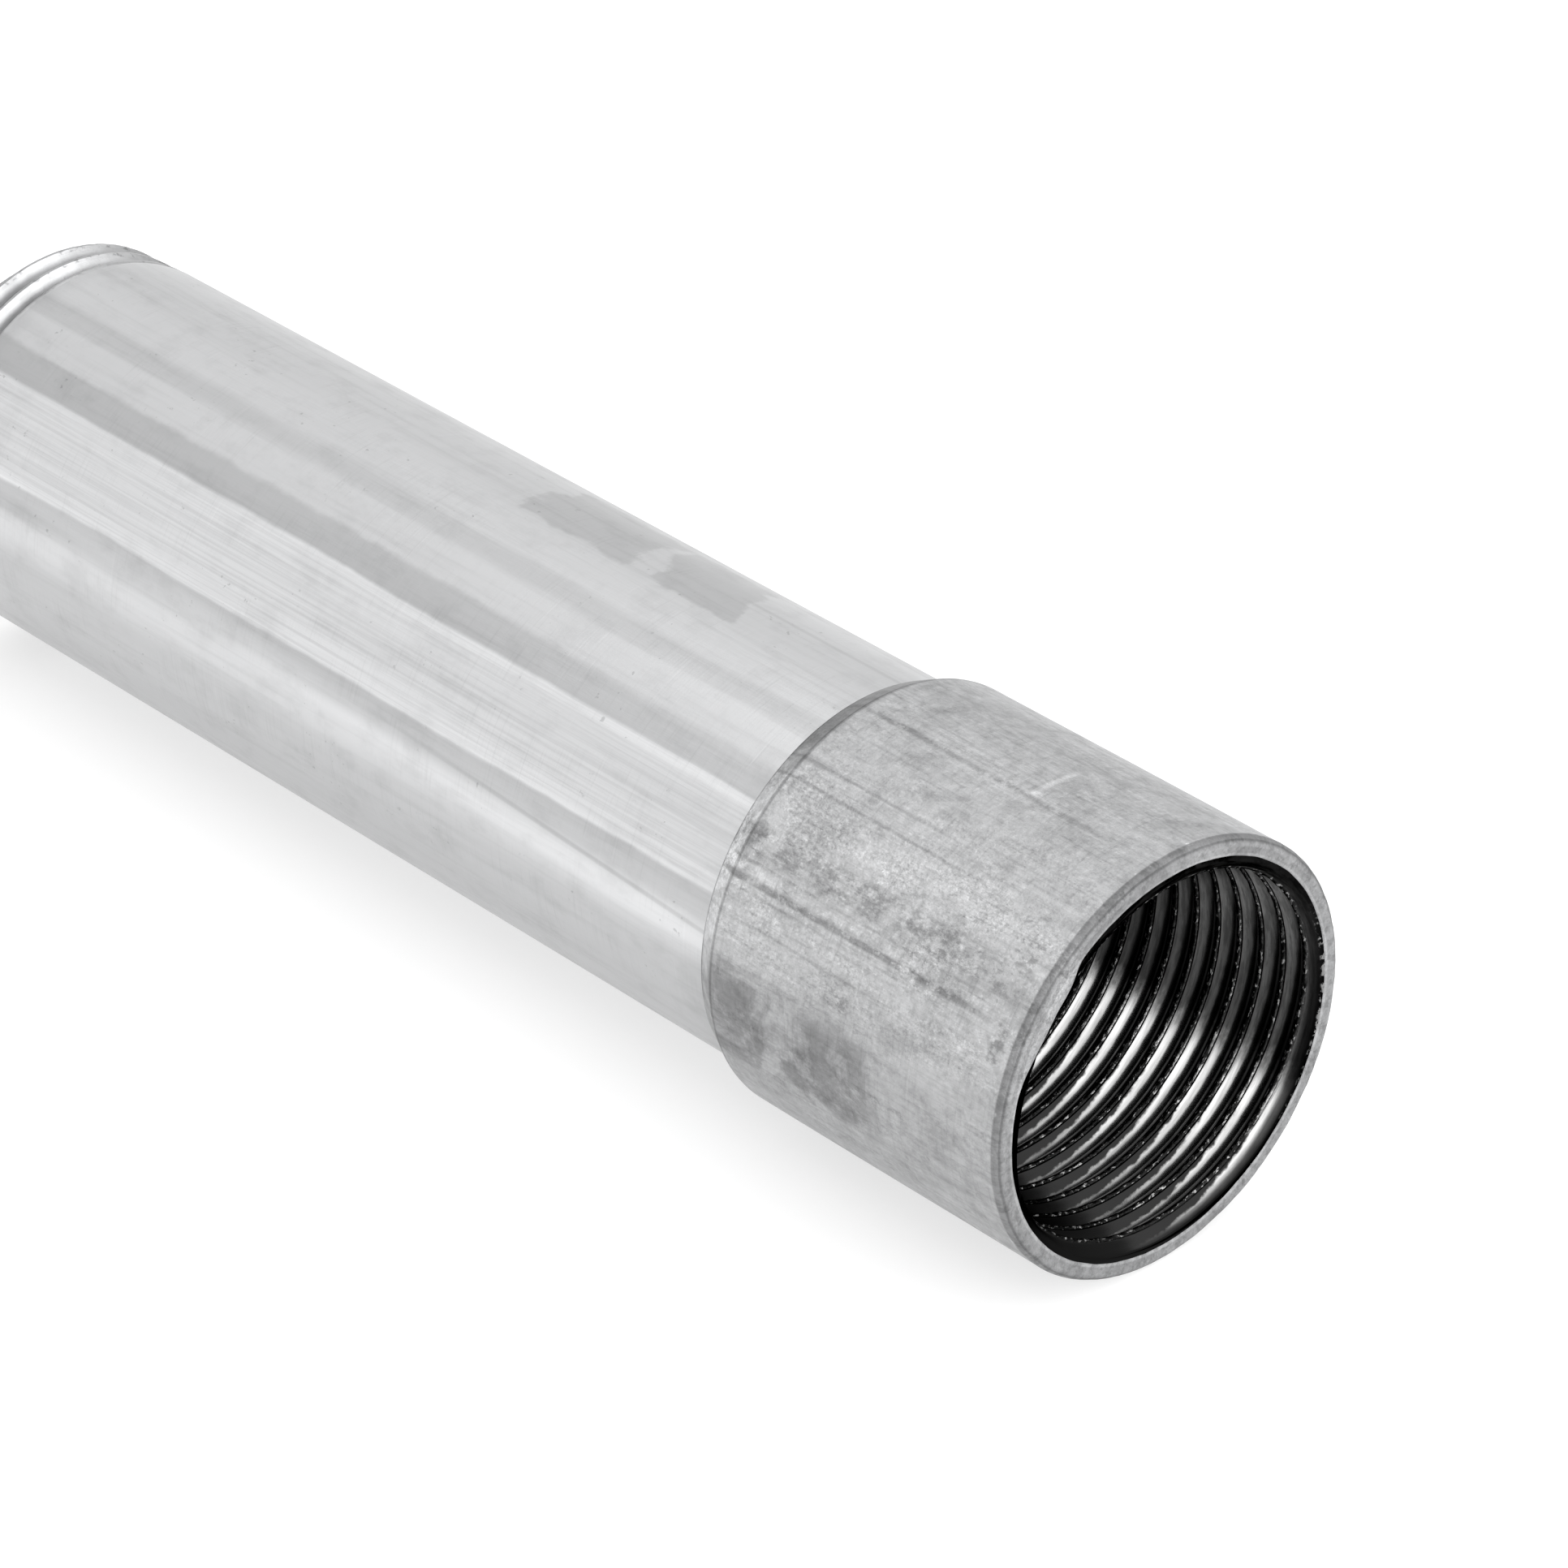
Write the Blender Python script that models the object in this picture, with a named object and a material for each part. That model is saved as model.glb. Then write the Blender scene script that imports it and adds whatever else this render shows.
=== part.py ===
"""A short galvanised pipe nipple with a coupling screwed onto one end.

The pipe lies along X with the coupling's open mouth facing +X.  The origin is under the middle of the
assembly, on the surface that the coupling rests on.  Lengths are in metres.
"""

import math

import bmesh
import bpy

# Driving dimensions of the nipple: three-quarter inch pipe.
INCH = 0.0254
NIPPLE_LENGTH = 3.5 * INCH
PIPE_RADIUS = 0.013335
BORE_RADIUS = 0.010465

# Driving dimensions of the coupling.
SOCKET_DEPTH = 0.75 * INCH
COUPLING_RADIUS = 0.014478
MOUTH_RADIUS = 0.0132
GROOVE_RADIUS = 0.01329
RIDGE_RADIUS = 0.0123
RECESS_RADIUS = 0.0135
RECESS_DEPTH = 0.0025
MOUTH_CHAMFER = 0.0005
BACK_TAPER_LENGTH = 0.00152
BACK_EDGE_RADIUS = 0.0137

# The thread: fourteen to the inch, with half of each pitch on the rising side.
PITCH = INCH / 14
JOINED_TURNS = 4
THREAD_DEPTH = 0.00105
THREAD_TAPER = 1 / 32
JOINED_CREST_RADIUS = 0.0128
FREE_CREST_RADIUS = 0.0131
THREAD_LENGTH = 0.0049
RUN_OUT_LENGTH = 0.0056
FIRST_CREST = 0.001
THREAD_STOP = 0.0011
THREAD_GAP = 0.0003
END_CHAMFER_RADIUS = 0.0119
BORE_CHAMFER = 0.0004

# The thread form, as places along one pitch and the height there, from 0 at the root to 1 at the crest.
FORM_PLACES = (0.0, 0.125, 0.5, 0.625)
FORM_HEIGHTS = (1.0, 1.0, 0.0, 0.0)
FORM_ROWS = len(FORM_PLACES)

# How round the round shapes are, and the least step between a row and the plane that it ends at.
SIDES = 40
LEAST_STEP = 0.00003

# Places that follow from the sizes above.
COUPLING_LENGTH = SOCKET_DEPTH + JOINED_TURNS * PITCH
OVERALL_LENGTH = NIPPLE_LENGTH + SOCKET_DEPTH
MOUTH_X = OVERALL_LENGTH / 2
JOINED_END_X = MOUTH_X - SOCKET_DEPTH
AXIS_HEIGHT = COUPLING_RADIUS
OPEN_THREAD_LENGTH = SOCKET_DEPTH - THREAD_STOP

# Bare metal colours, and how rough each coat of zinc is.
PIPE_ZINC = (0.56, 0.57, 0.58, 1.0)
PIPE_ROUGHNESS = 0.32
COUPLING_ZINC = (0.40, 0.41, 0.42, 1.0)
COUPLING_ROUGHNESS = 0.42


def clear_scene():
    for item in list(bpy.data.objects):
        bpy.data.objects.remove(item, do_unlink=True)


def ring(bm, x, radius):
    """A circle of vertices around the X axis."""
    loop = []
    for side in range(SIDES):
        angle = 2 * math.pi * side / SIDES
        loop.append(bm.verts.new((x, radius * math.cos(angle), radius * math.sin(angle))))
    return loop


def bridge(bm, loops):
    """Faces between each circle of vertices and the next."""
    for near, far in zip(loops, loops[1:]):
        for side in range(SIDES):
            after = (side + 1) % SIDES
            bm.faces.new((near[side], near[after], far[after], far[side]))


def form_height(place):
    """Height of the thread form at a place along it, counted in pitches."""
    place %= 1.0
    places = FORM_PLACES + (1.0,)
    heights = FORM_HEIGHTS + (FORM_HEIGHTS[0],)
    for row in range(FORM_ROWS):
        if place <= places[row + 1]:
            share = (place - places[row]) / (places[row + 1] - places[row])
            return heights[row] + share * (heights[row + 1] - heights[row])
    return heights[-1]


def thread_band(bm, x_from, x_to, crest_x, radius_at, turns_per_pitch):
    """A band of thread between two planes square to the axis, and its loops on those planes.

    Each row of vertices follows one corner of the thread form.  With one turn per pitch the rows climb a
    right-hand helix, and with none they are plain rings.  A row that reaches an end plane stops there.
    """
    climb = turns_per_pitch * PITCH

    def row_x(row, side):
        pitches = row // FORM_ROWS + FORM_PLACES[row % FORM_ROWS]
        return crest_x + pitches * PITCH + climb * side / SIDES

    def vertex(x, side, height):
        angle = 2 * math.pi * side / SIDES
        radius = radius_at(x, height)
        return bm.verts.new((x, radius * math.cos(angle), radius * math.sin(angle)))

    def end_vertex(x, side):
        place = (x - crest_x - climb * side / SIDES) / PITCH
        return vertex(x, side, form_height(place))

    low_end = [end_vertex(x_from, side) for side in range(SIDES)]
    high_end = [end_vertex(x_to, side) for side in range(SIDES)]
    first_row = FORM_ROWS * math.floor((x_from - crest_x - climb) / PITCH)
    last_row = FORM_ROWS * math.ceil((x_to - crest_x) / PITCH)

    inner = {}
    for row in range(first_row, last_row + 1):
        for side in range(SIDES):
            x = row_x(row, side)
            if x_from + LEAST_STEP < x < x_to - LEAST_STEP:
                inner[row, side] = vertex(x, side, FORM_HEIGHTS[row % FORM_ROWS])

    def corner(row, side):
        if side == SIDES:
            row += FORM_ROWS * turns_per_pitch
            side = 0
        if (row, side) in inner:
            return inner[row, side]
        middle = (x_from + x_to) / 2
        return low_end[side] if row_x(row, side) < middle else high_end[side]

    for row in range(first_row, last_row):
        for side in range(SIDES):
            corners = [corner(row, side), corner(row + 1, side)]
            corners += [corner(row + 1, side + 1), corner(row, side + 1)]
            distinct = list(dict.fromkeys(corners))
            if len(distinct) > 2:
                bm.faces.new(distinct)
    return low_end, high_end


def outside_radius(distance, height, crest_radius):
    """Radius of the pipe's thread at a distance from its end, under the end's chamfer."""
    crest = crest_radius + THREAD_TAPER * distance
    threaded = crest - THREAD_DEPTH * (1 - height)
    return min(threaded, END_CHAMFER_RADIUS + distance)


def inside_radius(x, height):
    """Radius of the coupling's thread at a place inside its mouth, which is countersunk."""
    threaded = RIDGE_RADIUS + height * (GROOVE_RADIUS - RIDGE_RADIUS)
    return max(threaded, MOUTH_RADIUS + x)


def add_piece(name, bm, x, color, roughness):
    """A named object on the assembly's axis, with its own metal material."""
    bmesh.ops.recalc_face_normals(bm, faces=bm.faces[:])
    mesh = bpy.data.meshes.new(name)
    bm.to_mesh(mesh)
    bm.free()
    mesh.shade_smooth()
    mesh.set_sharp_from_angle(angle=math.radians(30))
    material = bpy.data.materials.new(name + "_zinc")
    material.use_nodes = True
    shader = material.node_tree.nodes["Principled BSDF"]
    shader.inputs["Base Color"].default_value = color
    shader.inputs["Metallic"].default_value = 1.0
    shader.inputs["Roughness"].default_value = roughness
    mesh.materials.append(material)
    piece = bpy.data.objects.new(name, mesh)
    piece.location = (x, 0.0, AXIS_HEIGHT)
    bpy.context.scene.collection.objects.link(piece)
    return piece


def make_pipe_nipple():
    """The pipe, from its joined end at the local origin to its free end at -X.

    The free end has a helical thread.  The joined end, inside the coupling, has rings of the same form.
    """
    bm = bmesh.new()
    free_end = -NIPPLE_LENGTH
    free_thread = thread_band(
        bm,
        free_end,
        free_end + THREAD_LENGTH,
        free_end + FIRST_CREST,
        lambda x, height: outside_radius(x - free_end, height, FREE_CREST_RADIUS),
        1,
    )
    joined_thread = thread_band(
        bm,
        -THREAD_LENGTH,
        0.0,
        -FIRST_CREST,
        lambda x, height: outside_radius(-x, height, JOINED_CREST_RADIUS),
        0,
    )
    shank = [
        ring(bm, free_end + RUN_OUT_LENGTH, PIPE_RADIUS),
        ring(bm, -RUN_OUT_LENGTH, PIPE_RADIUS),
    ]
    bore = [
        ring(bm, 0.0, BORE_RADIUS + BORE_CHAMFER),
        ring(bm, -BORE_CHAMFER, BORE_RADIUS),
        ring(bm, free_end + BORE_CHAMFER, BORE_RADIUS),
        ring(bm, free_end, BORE_RADIUS + BORE_CHAMFER),
    ]
    bridge(bm, [free_thread[1], *shank, joined_thread[0]])
    bridge(bm, [joined_thread[1], *bore, free_thread[0]])
    return add_piece("pipe_nipple", bm, JOINED_END_X, PIPE_ZINC, PIPE_ROUGHNESS)


def make_coupling():
    """The coupling, from its mouth at the local origin to its back at -X.

    Its open thread is helical.  Around the pipe's end it has grooves that face the pipe's rings.
    """
    bm = bmesh.new()
    back = -COUPLING_LENGTH
    outside = [
        ring(bm, 0.0, COUPLING_RADIUS - MOUTH_CHAMFER),
        ring(bm, -MOUTH_CHAMFER, COUPLING_RADIUS),
        ring(bm, back + BACK_TAPER_LENGTH, COUPLING_RADIUS),
        ring(bm, back, BACK_EDGE_RADIUS),
    ]
    recess = [
        ring(bm, back, RECESS_RADIUS),
        ring(bm, back + RECESS_DEPTH, RECESS_RADIUS),
    ]
    joined_thread = thread_band(
        bm,
        back + RECESS_DEPTH,
        -OPEN_THREAD_LENGTH - THREAD_GAP,
        -SOCKET_DEPTH - FIRST_CREST,
        inside_radius,
        0,
    )
    open_thread = thread_band(
        bm,
        -OPEN_THREAD_LENGTH,
        0.0,
        0.0,
        inside_radius,
        1,
    )
    bridge(bm, [open_thread[1], *outside, *recess, joined_thread[0]])
    bridge(bm, [joined_thread[1], open_thread[0]])
    return add_piece("coupling", bm, MOUTH_X, COUPLING_ZINC, COUPLING_ROUGHNESS)


clear_scene()
make_pipe_nipple()
make_coupling()
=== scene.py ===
import math

import bmesh
import bpy
from mathutils import Matrix, Vector, noise


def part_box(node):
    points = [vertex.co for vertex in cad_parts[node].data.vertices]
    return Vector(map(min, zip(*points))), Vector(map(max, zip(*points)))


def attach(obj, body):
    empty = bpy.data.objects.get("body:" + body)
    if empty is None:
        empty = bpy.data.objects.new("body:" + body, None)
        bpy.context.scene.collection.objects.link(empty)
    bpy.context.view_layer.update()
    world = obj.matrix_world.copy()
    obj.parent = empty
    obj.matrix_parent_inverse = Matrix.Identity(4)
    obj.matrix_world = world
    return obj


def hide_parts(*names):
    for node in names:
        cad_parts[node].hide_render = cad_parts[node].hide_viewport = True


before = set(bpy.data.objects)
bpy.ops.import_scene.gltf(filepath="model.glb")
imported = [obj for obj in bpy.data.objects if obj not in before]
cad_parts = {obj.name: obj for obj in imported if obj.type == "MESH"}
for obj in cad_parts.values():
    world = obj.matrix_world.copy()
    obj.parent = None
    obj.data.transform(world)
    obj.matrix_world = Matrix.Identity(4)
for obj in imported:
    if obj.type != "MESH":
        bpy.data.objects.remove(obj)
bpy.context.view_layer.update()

# A galvanised pipe nipple and the coupling on its end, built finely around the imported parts.
# Lengths are in metres.  Angles round the axis run from +Y towards +Z.
MM = 0.001
INCH = 0.0254
PITCH = INCH / 14

COUPLING_LOW, COUPLING_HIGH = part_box("coupling")
PIPE_LOW, PIPE_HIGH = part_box("pipe_nipple")
COUPLING_RADIUS = (COUPLING_HIGH.z - COUPLING_LOW.z) / 2
COUPLING_LENGTH = COUPLING_HIGH.x - COUPLING_LOW.x
PIPE_RADIUS = (PIPE_HIGH.z - PIPE_LOW.z) / 2
PIPE_LENGTH = PIPE_HIGH.x - PIPE_LOW.x
AXIS_HEIGHT = COUPLING_RADIUS
SOCKET_DEPTH = COUPLING_HIGH.x - PIPE_HIGH.x

# How round the skins are, and the least step between a row of a thread and the plane that it ends at.
SIDES = 360
LEAST_STEP = 0.02 * MM

# Where the threads start: the coupling's first ridge, from its mouth, and the first ring on the joined pipe.
FIRST_RIDGE = -2.78 * MM
FIRST_RING = -1.0 * MM

# The camera, as it stands to the mouth of the coupling, in coupling radii where it is a distance.
CAMERA_AZIMUTH = math.radians(46.93)
CAMERA_ELEVATION = math.radians(31.90)
CAMERA_LENS = 158.74
MOUTH_AWAY = 28.252
MOUTH_RIGHT = 1.5856
MOUTH_DOWN = 1.1358


# ---------------------------------------------------------------- geometry

SHARP_ANGLE = math.radians(38)


class Skin:
    """A closed skin round the X axis, made of circles of vertices and bands of thread."""

    def __init__(self):
        self.bm = bmesh.new()

    def vertex(self, x, side, radius):
        """A vertex on one of the skin's sides, counted round the axis."""
        angle = 2 * math.pi * side / SIDES
        return self.bm.verts.new((x, radius * math.cos(angle), radius * math.sin(angle)))

    def ring(self, x, radius, wobble=None):
        """A circle; wobble(angle) gives a small change of its place and radius."""
        loop = []
        for side in range(SIDES):
            angle = 2 * math.pi * side / SIDES
            shift, swell = wobble(angle) if wobble else (0.0, 0.0)
            loop.append(self.vertex(x + shift, side, radius + swell))
        return loop

    def bridge(self, loops, material=0):
        """Faces between each circle of vertices and the next."""
        for near, far in zip(loops, loops[1:]):
            for side in range(SIDES):
                after = (side + 1) % SIDES
                face = self.bm.faces.new((near[side], near[after], far[after], far[side]))
                face.material_index = material

    def thread(self, x_from, x_to, crest_x, form, radius_at, material=0, climb=1):
        """A band of right-hand thread, or of plain rings if climb is 0, between two planes.

        form is a list of (place along one pitch, height there), and radius_at turns a height into a
        radius.  Rows of vertices follow its corners round the helix, and a row stops at an end plane.
        """
        rows = len(form)

        def row_x(row, side):
            return crest_x + (row // rows + form[row % rows][0] + climb * side / SIDES) * PITCH

        def height_at(place):
            place %= 1.0
            closed = form + [(1.0, form[0][1])]
            for (low, height), (high, next_height) in zip(closed, closed[1:]):
                if place <= high:
                    return height + (place - low) / (high - low) * (next_height - height)
            return form[0][1]

        def end_vertex(x, side):
            place = (x - crest_x) / PITCH - climb * side / SIDES
            return self.vertex(x, side, radius_at(x, side / SIDES, height_at(place)))

        low_end = [end_vertex(x_from, side) for side in range(SIDES)]
        high_end = [end_vertex(x_to, side) for side in range(SIDES)]
        first_row = rows * (math.floor((x_from - crest_x) / PITCH) - 1)
        last_row = rows * math.ceil((x_to - crest_x) / PITCH)

        inner = {}
        for row in range(first_row, last_row + 1):
            for side in range(SIDES):
                x = row_x(row, side)
                if x_from + LEAST_STEP < x < x_to - LEAST_STEP:
                    radius = radius_at(x, side / SIDES, form[row % rows][1])
                    inner[row, side] = self.vertex(x, side, radius)

        middle = (x_from + x_to) / 2

        def corner(row, side):
            if side == SIDES:
                row += climb * rows
                side = 0
            if (row, side) in inner:
                return inner[row, side]
            return low_end[side] if row_x(row, side) < middle else high_end[side]

        for row in range(first_row, last_row):
            for side in range(SIDES):
                corners = (
                    corner(row, side),
                    corner(row + 1, side),
                    corner(row + 1, side + 1),
                    corner(row, side + 1),
                )
                distinct = list(dict.fromkeys(corners))
                if len(distinct) > 2:
                    self.bm.faces.new(distinct).material_index = material
        return low_end, high_end

    def finish(self, name, x, materials):
        """The skin as a named piece, with its local origin on the axis at x."""
        bmesh.ops.recalc_face_normals(self.bm, faces=self.bm.faces[:])
        mesh = bpy.data.meshes.new(name)
        self.bm.to_mesh(mesh)
        self.bm.free()
        mesh.shade_smooth()
        mesh.set_sharp_from_angle(angle=SHARP_ANGLE)
        for material in materials:
            mesh.materials.append(material)
        piece = bpy.data.objects.new(name, mesh)
        piece.location = (x, 0.0, AXIS_HEIGHT)
        bpy.context.scene.collection.objects.link(piece)
        return piece


def rough(x, turn, size, seed):
    """Smooth noise from -1 to 1 on the skin at x and a share of a turn, with features of a given size."""
    angle = 2 * math.pi * turn
    reach = COUPLING_RADIUS / size
    return noise.noise(Vector((x / size, reach * math.cos(angle), reach * math.sin(angle) + seed)))


def arc(x, radius, bend, start, end, steps):
    """Places (x, radius) along an arc of radius bend about a centre."""
    places = []
    for step in range(steps + 1):
        angle = math.radians(start + (end - start) * step / steps)
        places.append((x + bend * math.cos(angle), radius + bend * math.sin(angle)))
    return places


# ---------------------------------------------------------------- shader nodes

class Shade:
    """A Principled material and short ways to add the nodes that drive it.

    spot is the place on the skin, x, y and z are its parts, all in millimetres, and around is its
    angle round the axis in degrees.
    """

    def __init__(self, name):
        self.material = bpy.data.materials.new(name)
        self.material.use_nodes = True
        self.tree = self.material.node_tree
        self.shader = self.tree.nodes["Principled BSDF"]
        place = self.add("ShaderNodeTexCoord")
        split = self.add("ShaderNodeSeparateXYZ", {0: place.outputs["Object"]})
        self.spot = self.calc("SCALE", place.outputs["Object"], 1000.0)
        self.x = self.calc("MULTIPLY", split.outputs[0], 1000.0)
        self.y = self.calc("MULTIPLY", split.outputs[1], 1000.0)
        self.z = self.calc("MULTIPLY", split.outputs[2], 1000.0)
        turn = self.calc("ARCTAN2", self.z, self.y)
        degrees = self.calc("MULTIPLY", turn, 180 / math.pi)
        self.around = self.calc("MODULO", self.calc("ADD", degrees, 360.0), 360.0)

    def add(self, kind, inputs=None, **settings):
        """A node with its settings, and its inputs set to a value or joined to another node's output."""
        node = self.tree.nodes.new(kind)
        for key, value in settings.items():
            setattr(node, key, value)
        for socket, value in (inputs or {}).items():
            if isinstance(value, bpy.types.NodeSocket):
                self.tree.links.new(value, node.inputs[socket])
            else:
                node.inputs[socket].default_value = value
        return node

    def calc(self, operation, a, b=None, c=None):
        """A math node.  SCALE multiplies a vector."""
        if operation == "SCALE":
            node = self.add("ShaderNodeVectorMath", {0: a, 3: b}, operation="SCALE")
            return node.outputs[0]
        inputs = {0: a}
        if b is not None:
            inputs[1] = b
        if c is not None:
            inputs[2] = c
        return self.add("ShaderNodeMath", inputs, operation=operation).outputs[0]

    def radius(self):
        """How far the skin is from the axis, in millimetres."""
        squares = self.calc("ADD", self.both(self.y, self.y), self.both(self.z, self.z))
        return self.calc("SQRT", squares)

    def stretched(self, along, across, seed=0.0):
        """The skin's place in millimetres, stretched by two scales, along and across the axis."""
        scales = {
            0: self.calc("MULTIPLY_ADD", self.x, along, seed),
            1: self.calc("MULTIPLY", self.y, across),
            2: self.calc("MULTIPLY", self.z, across),
        }
        return self.add("ShaderNodeCombineXYZ", scales).outputs[0]

    def cloud(self, vector, scale, detail=4.0, roughness=0.55, warp=0.0):
        """Fractal noise from 0 to 1."""
        inputs = {"Vector": vector, "Scale": scale, "Detail": detail}
        inputs.update({"Roughness": roughness, "Distortion": warp})
        return self.add("ShaderNodeTexNoise", inputs).outputs[0]

    def step(self, value, low, high, to_low=0.0, to_high=1.0):
        """A smooth step of value between low and high."""
        inputs = {0: value, 1: low, 2: high, 3: to_low, 4: to_high}
        return self.add("ShaderNodeMapRange", inputs, interpolation_type="SMOOTHSTEP").outputs[0]

    def band(self, value, centre, half, soft):
        """1 within half of centre, falling to 0 over soft."""
        away = self.calc("ABSOLUTE", self.calc("SUBTRACT", value, centre))
        return self.step(away, half, half + soft, 1.0, 0.0)

    def both(self, *factors):
        """The product of masks: 1 only where every one of them is."""
        product = factors[0]
        for factor in factors[1:]:
            product = self.calc("MULTIPLY", product, factor)
        return product

    def darken(self, value, mask, amount):
        """value times 1 less amount where mask is 1; a negative amount lightens."""
        share = self.calc("MULTIPLY", mask, amount)
        return self.calc("MULTIPLY", value, self.calc("SUBTRACT", 1.0, share))

    def metal(self, grey, tint, roughness, bump=None, height=0.0):
        """Drives the shader with a grey level, tinted a little, a roughness and a bump in millimetres."""
        channels = {i: self.calc("MULTIPLY", grey, part) for i, part in enumerate(tint)}
        color = self.add("ShaderNodeCombineColor", channels).outputs[0]
        self.tree.links.new(color, self.shader.inputs["Base Color"])
        self.shader.inputs["Metallic"].default_value = 1.0
        if isinstance(roughness, bpy.types.NodeSocket):
            self.tree.links.new(roughness, self.shader.inputs["Roughness"])
        else:
            self.shader.inputs["Roughness"].default_value = roughness
        if bump is not None:
            inputs = {"Strength": 1.0, "Distance": height * MM, "Height": bump}
            normal = self.add("ShaderNodeBump", inputs).outputs[0]
            self.tree.links.new(normal, self.shader.inputs["Normal"])
        return self.material


# ---------------------------------------------------------------- materials

# Lengths in the materials are in millimetres, and angles round the axis in degrees.  Each feature darkens
# the metal by a share of its grey, and a negative share lightens it.
ZINC_TINT = (0.992, 0.997, 1.008)
STEEL_TINT = (1.0, 0.998, 0.993)

# Lengthwise bands of painted reflection on the pipe: middle, half width, softness and how dark.
PIPE_REFLECTION_BANDS = (
    (107.0, 1.2, 4.0, 0.13),
    (111.0, 10.0, 12.0, 0.07),
    (133.6, 0.6, 1.0, -0.06),
)

# The seam's top and bottom edges round the pipe.
SEAM_TOP = 131.2
SEAM_BOTTOM = 158.0

# Dull patches on the pipe: middle from the mouth, half length, and slant in millimetres to a degree.
PIPE_PATCHES = ((-53.9, 4.6, 0.0), (-43.6, 3.3, 0.10))
PATCH_ANGLE = 74.0
PATCH_HALF_WIDTH = 13.5
SLANT_PIVOT = 76.0

# The free end's thread on the pipe: how far it reaches, and the radii of its grooves and crests.
FREE_THREAD_REACH = 5.5
FREE_GROOVE = 12.60
FREE_CREST = 13.05

# Streaks along the coupling: angle, half width, softness, how dark, how broken, and where each dies away.
STREAKS = (
    (92.6, 0.1, 0.7, 0.10, 0.40, -1.0),
    (96.6, 0.3, 1.1, 0.28, 0.37, -2.0),
    (117.0, 0.1, 0.6, 0.22, 0.34, -9.0),
    (122.7, 0.1, 0.7, 0.28, 0.32, -7.0),
    (139.6, 2.6, 1.2, 0.14, 0.46, -1.0),
    (145.2, 0.1, 0.5, 0.22, 0.40, -2.0),
    (149.6, 0.4, 0.9, 0.40, 0.39, -1.0),
    (152.4, 0.1, 0.5, 0.14, 0.43, -4.0),
    (159.5, 0.1, 0.5, 0.14, 0.36, -4.0),
    (185.0, 0.3, 1.5, 0.24, 0.50, -1.0),
)

# Small dark marks on the coupling: middle from the mouth, half length, angle and half width.
MARKS = (
    (-2.6, 0.7, 132.0, 2.5),
    (-1.75, 0.25, 154.0, 4.0),
    (-14.3, 0.8, 165.0, 1.8),
)

# The angles between which the underside of both pieces has painted shade, and over which that begins and
# ends.
UNDERSIDE_SHADE_ENDS = (310.0, 350.0)

# The lengths of the coupling's back taper and front rounding, and the radius of the mouth's inner edge.
BACK_TAPER = 1.56
FRONT_ROUNDING = 0.33
INNER_EDGE = 13.38

# The coupling's thread: the near-black grey of its grooves, which is painted shade, the radius of its
# ridges, and how little bare oily steel reflects when it is seen along its surface.
GROOVE_SHADE_GREY = 0.014
RIDGE_TOP = 12.38
THREAD_GLANCE = (0.4, 0.4, 0.4, 1.0)


def pipe_reflection_bands(s, grey, x, around):
    """Painted reflection: a dull band above the seam, stronger away from the coupling, and fainter ones
    nearer the top.
    """
    ragged = s.calc("MULTIPLY_ADD", s.cloud(s.stretched(0.5, 0.9, 9.0), 1.0, 4.0, 0.6), 3.0, -1.5)
    ragged_top = s.step(s.calc("ADD", s.around, ragged), 121.0, 123.5)
    above = s.both(ragged_top, s.step(around, SEAM_TOP, SEAM_TOP + 1.4, 1.0, 0.0))
    far = s.step(x, -36.0, -62.0)
    # Painted reflection: the band above the seam is darker.
    grey = s.darken(grey, above, s.calc("MULTIPLY_ADD", far, 0.09, 0.11))
    # Painted reflection in the lengthwise bands, darker in two and lighter in the last.
    for middle, half, soft, amount in PIPE_REFLECTION_BANDS:
        grey = s.darken(grey, s.band(around, middle, half, soft), amount)
    return grey


def pipe_seam(s, grey, x, around):
    """The seam's bright band of fine streaks, and the dull strip and slanting lines below it."""
    seam = s.both(
        s.step(around, SEAM_TOP, SEAM_TOP + 1.6),
        s.step(around, SEAM_BOTTOM, SEAM_BOTTOM + 1.6, 1.0, 0.0),
    )
    streaks = s.cloud(s.stretched(0.035, 3.8, 7.0), 1.0, 5.0, 0.7)
    grey = s.darken(grey, s.both(seam, s.step(streaks, 0.40, 0.68)), 0.13)
    grey = s.darken(grey, seam, -0.26)
    below = s.both(
        s.step(around, SEAM_BOTTOM + 0.2, SEAM_BOTTOM + 1.8),
        s.step(around, 165.0, 170.0, 1.0, 0.0),
    )
    grey = s.darken(grey, below, 0.17)
    slanting = s.calc("MULTIPLY_ADD", x, -0.22, s.around)
    thin_line = s.both(s.band(slanting, 176.0, 0.25, 0.8), s.step(x, -62.0, -40.0))
    grey = s.darken(grey, thin_line, 0.17)
    return s.darken(grey, s.band(slanting, 180.5, 1.5, 3.5), -0.08)


def pipe_painted_shade(s, grey):
    """Painted shade: the underside and the side away from the camera are darker."""
    # Painted shade on the underside.
    lower = s.both(s.step(s.around, 172.0, 184.0), s.step(s.around, *UNDERSIDE_SHADE_ENDS, 1.0, 0.0))
    grey = s.darken(grey, lower, 0.20)
    # Painted shade on the side away from the camera.
    away = s.calc("ABSOLUTE", s.calc("SUBTRACT", s.around, 180.0))
    return s.darken(grey, s.step(away, 100.0, 145.0), 0.38)


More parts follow.
